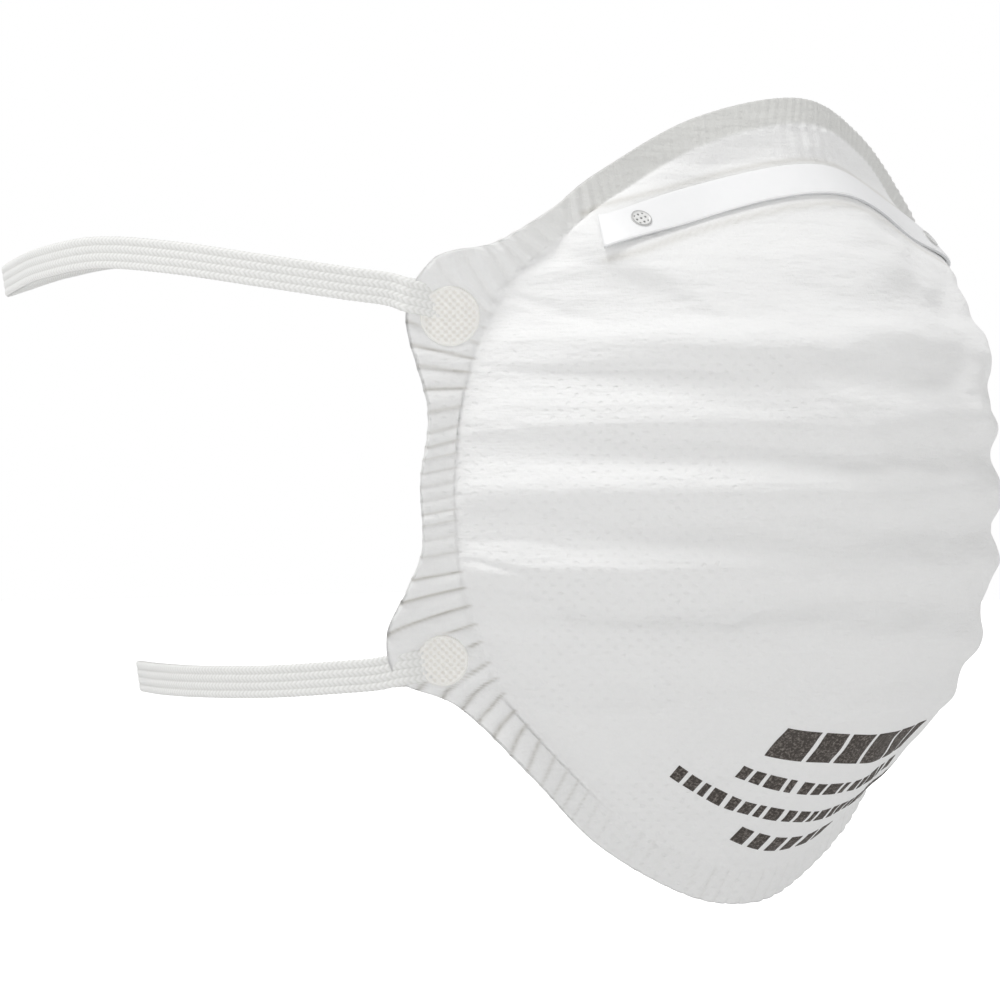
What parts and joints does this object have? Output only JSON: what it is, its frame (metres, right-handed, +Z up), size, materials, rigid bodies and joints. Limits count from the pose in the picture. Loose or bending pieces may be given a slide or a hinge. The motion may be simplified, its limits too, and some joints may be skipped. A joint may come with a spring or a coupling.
{
  "type": "disposable dust mask",
  "caption": "Moulded cup dust mask with a crimped rim, a bendable nose clip, an inner nose foam and elastic head straps welded to the rim, swinging at their roots.",
  "frame": {"origin": "on the symmetry plane, halfway up the rim, just behind the rim's nose edge in depth", "axes": "+Z up towards the nose clip, -Y out of the front of the mask, +Y towards the wearer, +X to the wearer's left"},
  "size_m": [0.1621, 0.1942, 0.1354],
  "materials": {
    "cover_nonwoven": "matte white spunbonded nonwoven with fine bond points",
    "filter_web": "matte white melt-blown fibre web",
    "moulded_shell": "stiff matte white moulded fibre shell",
    "liner_nonwoven": "soft matte white nonwoven",
    "painted_aluminium": "satin white paint on a thin aluminium strip",
    "stake": "knurled weld point, slightly glossy",
    "foam": "light grey open-cell foam",
    "strap_elastic": "off-white knitted flat elastic with lengthwise ribs",
    "weld": "pressed, cross-knurled ivory weld pad"
  },
  "bodies": {
    "mask": {"outer_cover": "cover_nonwoven", "filter_web": "filter_web", "support_shell": "moulded_shell", "inner_liner": "liner_nonwoven", "nose_clip": "painted_aluminium", "nose_clip_stake_right": "stake", "nose_clip_stake_left": "stake", "nose_foam": "foam", "strap_weld_upper_right": "weld", "strap_weld_upper_left": "weld", "strap_weld_lower_right": "weld", "strap_weld_lower_left": "weld"},
    "upper_strap": {"upper_strap": "strap_elastic"},
    "lower_strap": {"lower_strap": "strap_elastic"}
  },
  "joints": [
    {"name": "upper_strap_swing", "type": "hinge", "parent": "mask", "child": "upper_strap", "pos_m": [0, 0.0335, 0.0345], "axis": [1, 0, 0], "range_deg": [-10, 80], "stiffness_Nm_per_rad": 0.02},
    {"name": "lower_strap_swing", "type": "hinge", "parent": "mask", "child": "lower_strap", "pos_m": [0, 0.0376, -0.0287], "axis": [1, 0, 0], "range_deg": [-80, 10], "stiffness_Nm_per_rad": 0.02}
  ]
}
